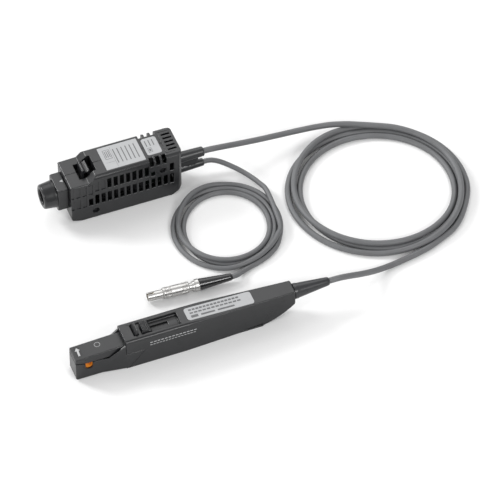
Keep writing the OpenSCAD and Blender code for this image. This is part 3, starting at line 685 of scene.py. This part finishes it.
@dataclass
class Cord:
    """A free cord: out of one sleeve, round its coil and on to its far end."""

    name: str
    diameter: float
    lead: tuple[Triple, ...]
    coil: Coil
    tail: tuple[Triple, ...]
    nodes: tuple[str, ...]
    step: float = 3.0
    held: int = 12
    centreline: np.ndarray = field(default_factory=lambda: np.zeros((0, 3)))

    def build(self) -> bpy.types.Object:
        """Makes the cord as one round curve.

        Returns:
            The cord's curve object.
        """
        route = np.array([*self.lead, *self.coil.points(self.diameter), *self.tail])
        self.centreline = self._settled(spline(route, self.step))
        data = bpy.data.curves.new(self.name, "CURVE")
        data.dimensions = "3D"
        data.bevel_depth = self.diameter / 2 * MM
        data.bevel_resolution = 6
        data.use_fill_caps = True
        line = data.splines.new("POLY")
        line.points.add(len(self.centreline) - 1)
        for point, place in zip(line.points, self.centreline * MM):
            point.co = (*place, 1.0)
        line.use_smooth = True
        cord = bpy.data.objects.new(self.name, data)
        bpy.context.scene.collection.objects.link(cord)
        return dress(cord, CORD, "root", self.nodes)

    @property
    def length(self) -> float:
        """Length of the centreline in metres."""
        return float(np.linalg.norm(np.diff(self.centreline, axis=0), axis=1).sum()) * MM

    def _settled(self, line: np.ndarray) -> np.ndarray:
        """Lets strands that would share room push each other apart.

        Args:
            line: Centreline in millimetres.

        Returns:
            The centreline with its strands a diameter apart.
        """
        count = len(line)
        index = np.arange(count)
        apart = np.abs(index[:, None] - index[None]) * self.step > STRAND_APART * self.diameter
        free = np.clip(np.minimum(index, count - 1 - index) / self.held, 0, 1)[:, None]
        shift = np.zeros_like(line)
        for _ in range(SETTLE_ROUNDS):
            now = line + shift
            gap = now[:, None] - now[None]
            far = np.linalg.norm(gap, axis=2) + 1e-9
            lack = np.where(apart, np.clip(self.diameter * STRAND_GAP - far, 0, None), 0)
            shift = shift + SETTLE_PUSH * (gap * (lack / far)[..., None]).sum(axis=1) * free
            shift[1:-1] = SETTLE_KEEP * shift[1:-1] + SETTLE_SPREAD * (shift[:-2] + shift[2:])
            shift[:, 2] = np.maximum(line[:, 2] + shift[:, 2], self.diameter / 2) - line[:, 2]
        return line + shift


@dataclass
class Cords:
    """The sensor's cord and the power cord, lying on the bench."""

    sensor_mm: float = 4.2
    power_mm: float = 3.6

    def build(self) -> None:
        """Makes both cords."""
        sensor = Cord(
            "sensor_cord", self.sensor_mm,
            ((55.2, 68.15, 20.0), (61, 68.15, 19.7), (69, 68.6, 18.3), (83, 69.8, 15.2), (98, 71, 12.2),
             (113.5, 72, 9.8), (129, 72.3, 8.2), (143.5, 71.4, 7.4), (157.5, 68.2, 7.1)),
            Coil((160.5, 5.1), (58.0, 56.1), ((0.2, 1.6), (0.1, 1.5), (0.05, 1.45), *TURNS_UNDER), 0),
            ((207.5, -35.7, 2.1), (196, -47, 2.1), (180.1, -54.5, 2.1), (173, -57.2, 2.1), (163, -59.7, 2.1),
             (150, -62, 2.1), (140, -63.8, 2.7), (129, -66.6, 5.6), (118, -69.8, 10.4), (108.5, -72.2, 14.9),
             (100.5, -73.15, 17.2), (92, -73.15, 17.5)),
            ("sensor_cord_lead", "sensor_cord_coil", "sensor_cord_tail"),
        )
        piece = sensor.build()
        power = Cord(
            "power_cord", self.power_mm,
            ((55.2, 68.15, 9.2), (60.5, 67.9, 9), (66, 65.6, 7.9), (72, 60.8, 6.3), (77.5, 54.5, 5.2),
             (82, 47, 4.9), (85.5, 38.5, 5.1), (87.7, 28.5, 5.3)),
            Coil((50.7, 11.4), (33.3, 35.8), ((0.95, 1.4), *TURNS_UNDER), 2),
            ((80.7, -11.3, 1.8), (75.7, -18, 1.8), (69, -22.8, 1.8), (61.2, -26.2, 1.8), (52.3, -28.6, 1.8),
             (45, -31.6, 2.5), (40.8, -34.4, 4.1), (36.4, -35.2, 4.6)),
            ("power_cord_lead", "power_cord_coil", "power_cord_tail"),
        )
        piece = power.build()
        LOG.info("cords: %.3f m and %.3f m", sensor.length, power.length)


# ------------------------------------------------------------------------------ sensor head
@dataclass
class SensorHead:
    """Slim head with a sliding jaw, an opening lever and a label on its back."""

    edge: float = 0.4
    corner: float = 0.85
    label_tilt: float = math.atan(2.8 / 80)
    jaw_rise: float = 1.5
    jaw_run: float = 35.5
    sleeve_len: float = 26.0
    lining_half: float = 5.2
    blade_half: float = 6.5
    half_width: float = 9.0
    slit_half: float = 1.8
    neck_len: float = 36.0
    rear_from: float = 157.8
    rear_corner: float = 1.5
    flank_from: float = 5.0
    roof_from: float = 20.0
    shortest: float = 3.0
    base_edge: float = 0.25
    jaw_corner: float = 0.8
    lever_edge: float = 0.22
    front: Vector = field(default_factory=Vector)

    def build(self) -> None:
        """Finishes every piece of the head."""
        low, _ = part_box("upper_jaw")
        self.front = Vector((low.x, centre_of("upper_jaw").y, 0))
        self._housing()
        self._jaws()
        self._lever()
        self._label()
        self._marks()
        self._sleeve()

    def _housing(self) -> None:
        """Rounds the housing: wide on its rear and its upper outer edges, narrow elsewhere."""
        form = Form.of_node("sensor_housing")
        form.soften(self.rear_corner, 4, where=self._rear)
        form.soften(self.corner, 4, 20.0, where=self._outer)
        form.soften(self.edge, 2)
        form.finish("head_housing", CASE, nodes=["sensor_housing"])
        Form.of_node("sensor_base").soften(self.base_edge).finish("head_base", CASE, nodes=["sensor_base"])

    def _rear(self, edge: bmesh.types.BMEdge) -> bool:
        """Whether an edge bounds the rear wall."""
        ends = [vert.co / MM - self.front / MM for vert in edge.verts]
        return all(end.x > self.rear_from for end in ends)

    def _outer(self, edge: bmesh.types.BMEdge) -> bool:
        """Whether an edge runs along the top of the housing's outside."""
        middle = (edge.verts[0].co + edge.verts[1].co) / 2 / MM - self.front / MM
        outside = abs(middle.y) > self.flank_from and middle.x > self.neck_len and middle.z > self.roof_from
        return outside and edge.calc_length() > self.shortest * MM

    def _jaws(self) -> None:
        """Rounds both jaws and puts dark rims on both sides of the opening's lining."""
        Form.of_node("lower_jaw").soften(self.edge).finish("fixed_jaw", CASE, nodes=["lower_jaw"])
        Form.of_node("upper_jaw").soften(self.jaw_corner, 4).finish("sliding_jaw", CASE, "jaw", ["upper_jaw"])
        inner, outer = self.lining_half * MM, self.blade_half * MM
        lining = Form.of_node("opening_liner").between(self.front.y - inner, self.front.y + inner)
        lining.finish("jaw_lining", LINER, nodes=["opening_liner"])
        for name, side in (("jaw_rim_near", -1), ("jaw_rim_far", 1)):
            ends = sorted((self.front.y + side * inner, self.front.y + side * outer))
            Form.of_node("opening_liner").between(*ends).finish(name, CASE)

    def _lever(self) -> None:
        """Rounds the opening lever, hangs a shutter below its slit and lines its recess."""
        form = Form.of_node("opening_lever").soften(self.lever_edge)
        form.finish("head_lever", CASE, "jaw", ["opening_lever"])
        x0, y0 = self.front.x / MM, self.front.y / MM
        self._plate("lever_shutter", bar(x0 + 51.4, y0 - 2.6, x0 + 68.4, y0 + 2.6), 21.8, 0.3, "jaw")
        for name, side in (("recess_floor_near", -1), ("recess_floor_far", 1)):
            inner, outer = sorted((y0 + side * self.slit_half, y0 + side * 5.15))
            self._plate(name, bar(x0 + 42.3, inner, x0 + 75.1, outer), 23.15, 0.17)

    @staticmethod
    def _plate(name: str, corners: Sequence[Pair], bottom: float, thick: float, body: str = "root") -> None:
        """Makes a flat dark plate.

        Args:
            name: Name of the piece.
            corners: Its corners seen from above, in millimetres.
            bottom: Height of its underside.
            thick: Its thickness.
            body: CAD body that it moves with.
        """
        outline = [(x, y, bottom) for x, y in corners]
        Form().prism(outline, (0, 0, thick)).finish(name, DARK, body)

    def _label(self) -> None:
        """Makes the long label with its generic bars."""
        form = Form.of_node("sensor_label")
        form.finish("head_label", LABEL, nodes=["sensor_label"])
        low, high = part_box("sensor_label")
        tilt = self.label_tilt
        sheet = Sheet(Vector((low.x, self.front.y, high.z)), Vector((math.cos(tilt), 0, -math.sin(tilt))),
                      Vector((0, 1, 0)))
        bars = [bar(3 + 2.6 * i, 2.4, 5.0 + 2.6 * i, 3.9) for i in range(14)]
        bars += [bar(3 + 3.1 * i, -0.3, 5.4 + 3.1 * i, 1.0) for i in range(12)]
        bars += [bar(3, -3.9, 8, -1.7), bar(10, -3.6, 20, -2.2), bar(22, -3.6, 34, -2.2)]
        sheet.prints("head_label_print", bars, PRINT_DARK, "root")
        side = Sheet(Vector((self.front.x, self.front.y - self.half_width * MM, 0)), Vector((1, 0, 0)),
                     Vector((0, 0, 1)))
        dashes = [bar(52 + 2.6 * i, 19.2, 53.8 + 2.6 * i, 19.9) for i in range(13)]
        dashes += [bar(52 + 2.2 * i, 17.0, 53.5 + 2.2 * i, 17.5) for i in range(15)]
        side.prints("head_side_print", dashes, PRINT_WHITE, "root")

    def _marks(self) -> None:
        """Puts the arrow panel and a plain ring on the sliding jaw's sloping top."""
        _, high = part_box("upper_jaw")
        tilt = math.atan(self.jaw_rise / self.jaw_run)
        start = Vector((self.front.x + 0.5 * MM, self.front.y, high.z - self.jaw_rise * MM))
        sheet = Sheet(start, Vector((math.cos(tilt), 0, math.sin(tilt))), Vector((0, 1, 0)))
        sheet.prints("jaw_panel", [bar(1.5, -3.9, 5.9, 4.6)], DARK, "jaw", lift=0.03, thick=0.14)
        arrow = [(3.55, 4.1), (1.85, 1.5), (3.0, 1.5), (2.8, -3.2), (4.2, -3.2), (4.4, 1.5), (5.5, 1.5)]
        sheet.prints("jaw_arrow", [arrow], PRINT_WHITE, "jaw", lift=0.06)
        sheet.prints("jaw_ring", ring_marks((17.6, 1.6), 1.8, 2.02), PRINT_WHITE, "jaw", lift=0.03)

    def _sleeve(self) -> None:
        """Turns the tapered sleeve on the head's cord."""
        _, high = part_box("sensor_strain_relief")
        middle = centre_of("sensor_strain_relief")
        start = Vector((high.x - self.sleeve_len * MM, middle.y, middle.z))
        outer = [(-6.5, 2.1), (-4.1, 2.1), (-4.1, 3.0), (0, 3.0), (0, 5.3), (0.15, 5.48), (1.8, 5.48),
                 (2.5, 5.38), (3.3, 5.18), (5, 5.0), (9, 4.6), (14, 4.1), (19, 3.6), (24, 3.1),
                 (25.1, 2.95), (25.7, 2.7), (26, 2.35)]
        Form().revolve(outer, start, Vector((1, 0, 0))).finish("head_sleeve", SLEEVE,
                                                               nodes=["sensor_strain_relief"])


# ------------------------------------------------------------------------------ terminator
@dataclass
class Terminator:
    """Vented box with a bayonet coaxial connector at the front and two cords at the rear."""

    edge: float = 0.4
    corner: float = 1.1
    flank_from: float = 13.5
    rear_from: float = 78.0
    skin: float = 0.5
    shortest: float = 10.0
    seam_half: float = 1.0
    block_corner: float = 0.7
    block_edge: float = 0.35
    tube_edge: float = 0.15
    lock_edge: float = 0.3
    cover_edge: float = 0.35
    sleeve_edge: float = 0.4
    front: Vector = field(default_factory=Vector)

    def build(self) -> None:
        """Finishes every piece of the box."""
        low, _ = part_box("terminator_shell_near")
        self.front = Vector((low.x, centre_of("connector_collar").y, 0))
        self._shells()
        self._connector()
        self._lock()
        self._cover()
        self._labels()
        self._sleeves()

    def _shells(self) -> None:
        """Rounds both halves of the case."""
        for side in ("near", "far"):
            form = Form.of_node(f"terminator_shell_{side}")
            form.soften(self.corner, 4, where=self._outer)
            form.soften(self.edge, 2)
            form.finish(f"case_{side}_half", CASE, nodes=[f"terminator_shell_{side}"])

    def _outer(self, edge: bmesh.types.BMEdge) -> bool:
        """Whether an edge runs along the outside of the case."""
        middle = (edge.verts[0].co + edge.verts[1].co) / 2 / MM - self.front / MM
        outside = (abs(middle.y) > self.flank_from or middle.x < self.skin or middle.x > self.rear_from
                   or middle.z < self.skin)
        return outside and edge.calc_length() > self.shortest * MM and abs(middle.y) > self.seam_half

    def _connector(self) -> None:
        """Rounds the connector's block, turns its collar and rounds its inner tube."""
        block = Form.of_node("connector_block").soften(self.block_corner, 4, 60.0).soften(self.block_edge, 2)
        block.finish("connector_base", CASE, nodes=["connector_block"])
        _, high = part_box("connector_collar")
        start = Vector((high.x, self.front.y, centre_of("connector_collar").z))
        profile = [(0, 5.5), (0, 9.5), (0.2, 9.68), (1.2, 9.68), (1.8, 9.5), (3, 9.36), (6, 9.05),
                   (7.9, 8.82), (8.6, 8.68), (9.1, 8.35), (9.42, 7.85), (9.55, 7.3), (9.5, 6.6),
                   (9.25, 6.0), (8.8, 5.62), (8.2, 5.5)]
        Form().revolve(profile, start, Vector((-1, 0, 0)), closed=True).finish(
            "connector_rim", CASE, nodes=["connector_collar"])
        _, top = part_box("connector_block")
        sheet = Sheet(Vector((high.x, self.front.y, top.z)), Vector((1, 0, 0)), Vector((0, 1, 0)))
        triangle = [(4.3, 0), (6.6, -1.3), (6.6, 1.3)]
        sheet.prints("index_mark", [triangle], PRINT_WHITE, "root", lift=0.0, thick=0.25)
        tube = Form.of_node("connector_sleeve").soften(self.tube_edge)
        tube.finish("connector_tube", DARK, nodes=["connector_sleeve"])

    def _lock(self) -> None:
        """Rounds the lock lever."""
        form = Form.of_node("lock_lever").soften(self.lock_edge, 3)
        form.finish("lock_slider", CASE, "lock", ["lock_lever"])

    def _cover(self) -> None:
        """Rounds the slotted rear cover."""
        form = Form.of_node("vent_cover").soften(self.cover_edge)
        form.finish("rear_cover", CASE, nodes=["vent_cover"])

    def _labels(self) -> None:
        """Makes both labels with their generic bars."""
        for end in ("front", "rear"):
            Form.of_node(f"terminator_label_{end}").finish(f"case_label_{end}", LABEL,
                                                           nodes=[f"terminator_label_{end}"])
        _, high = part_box("terminator_label_front")
        sheet = Sheet(Vector((self.front.x, self.front.y, high.z)), Vector((1, 0, 0)), Vector((0, 1, 0)))
        bars = outlined(30.4, -1.2, 35.4, 7.6, 0.35)
        bars += [bar(31.4 + 1.3 * i, 0.4, 31.9 + 1.3 * i, 6.4) for i in range(3)]
        bars += [bar(37.6 + 3.0 * i, -6.8, 38.3 + 3.0 * i, 6.8) for i in range(6)]
        bars += [bar(36.4, -9.6, 36.55, 9.6), bar(29.6, -4.4, 36.4, -4.25)]
        bars += outlined(60.6, -5.6, 63.4, -1.4, 0.3) + [bar(61.4, -4.6, 62.6, -2.4)]
        bars += [bar(60.6 + 2.6 * i, 0.2, 61.3 + 2.6 * i, 5.8) for i in range(3)]
        sheet.prints("case_label_print", bars, PRINT_DARK, "root")

    def _sleeves(self) -> None:
        """Rounds the twin sleeve of the two cords."""
        form = Form.of_node("twin_strain_relief").soften(self.sleeve_edge, 3)
        form.finish("twin_sleeve", SLEEVE, nodes=["twin_strain_relief"])


# ------------------------------------------------------------------------------ plug
@dataclass
class PowerPlug:
    """Push-pull plug on the power cord."""

    yaw: float = math.radians(-3.5)
    nose_reach: float = 11.0
    edge: float = 0.12
    teeth: int = 40
    cut_depth: float = 0.16

    def build(self) -> None:
        """Finishes every piece of the plug."""
        axis = Vector((math.cos(self.yaw), math.sin(self.yaw), 0))
        start = centre_of("plug_nose") - axis * (self.nose_reach * MM)
        Form.of_node("plug_nose").soften(self.edge).finish("plug_shell", NICKEL, nodes=["plug_nose"])
        self._grip(start, axis)
        Form.of_node("plug_body").soften(self.edge).finish("plug_neck", NICKEL, nodes=["plug_body"])
        ring = [(33.3, 2.77), (33.3, 3.85), (33.45, 4.0), (33.8, 4.4), (36.0, 4.4), (36.35, 4.25),
                (36.5, 4.1), (36.5, 2.77)]
        Form().revolve(ring, start, axis, closed=True).finish("plug_ring", NICKEL, nodes=["plug_nut"])
        self._boot(start, axis)

    def _grip(self, start: Vector, axis: Vector) -> None:
        """Turns the sliding grip with its two knurled bands.

        Args:
            start: Front end of the plug's axis.
            axis: Direction of the plug.
        """
        profile: list[Pair] = [(10.8, 2.8), (10.8, 3.5), (10.9, 3.62), (11.2, 3.9), (11.5, 3.95),
                               (12.5, 3.95)]
        knurled: list[bool] = [False] * len(profile)
        for begin, radius in ((12.7, 3.95), (23.9, 4.1)):
            for i in range(5):
                s = begin + 0.8 * i
                for along, drop in ((0.0, 0.22), (0.1, 0.0), (0.55, 0.0), (0.65, 0.22)):
                    profile.append((s + along, radius - drop))
                    knurled.append(drop == 0.0)
            profile += [(begin + 4.0, radius), (begin + 4.6, radius)]
            knurled += [False, False]
        profile += [(29.0, 3.95), (29.35, 3.75), (29.5, 3.45), (29.5, 2.8)]
        knurled += [False] * 4
        steps = 3 * self.teeth

        def relief(i: int, k: int) -> float:
            """Depth of the lengthwise cuts in the knurled bands."""
            return -self.cut_depth if knurled[i] and k % 3 == 0 else 0.0

        Form().revolve(profile, start, axis, steps, True, relief).finish(
            "plug_grip", NICKEL, "plug_sleeve", ["plug_latch_sleeve"], smooth=25.0)

    def _boot(self, start: Vector, axis: Vector) -> None:
        """Turns the tapered boot with its rounded collar.

        Args:
            start: Front end of the plug's axis.
            axis: Direction of the plug.
        """
        profile = [(38.1, 0.4), (38.1, 2.77), (36.52, 2.77), (36.52, 3.9), (36.7, 4.1), (38.2, 4.1),
                   (38.6, 4.02), (41, 3.84), (45, 3.54), (50, 3.17), (55, 2.79), (58.8, 2.5), (59.5, 2.38),
                   (59.9, 2.15), (60, 1.9)]
        Form().revolve(profile, start, axis).finish("plug_sleeve_boot", BOOT, nodes=["plug_boot"])


def dress_hidden_nodes() -> None:
    """Gives the CAD nodes inside the shells their finishes."""
    for node, look in HIDDEN_NODES.items():
        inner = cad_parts[node]
        material = look.material()
        if inner.material_slots:
            for place in inner.material_slots:
                place.material = material
        else:
            inner.data.materials.append(material)
        LOG.info("%s: %s", node, look.slot.value)


def main() -> None:
    """Builds the studio, then each sub-assembly in order."""
    logging.basicConfig(level=logging.INFO, format="%(name)s: %(message)s")
    Studio().build()
    SensorHead().build()
    Terminator().build()
    PowerPlug().build()
    Cords().build()
    dress_hidden_nodes()


if __name__ == "__main__":
    main()
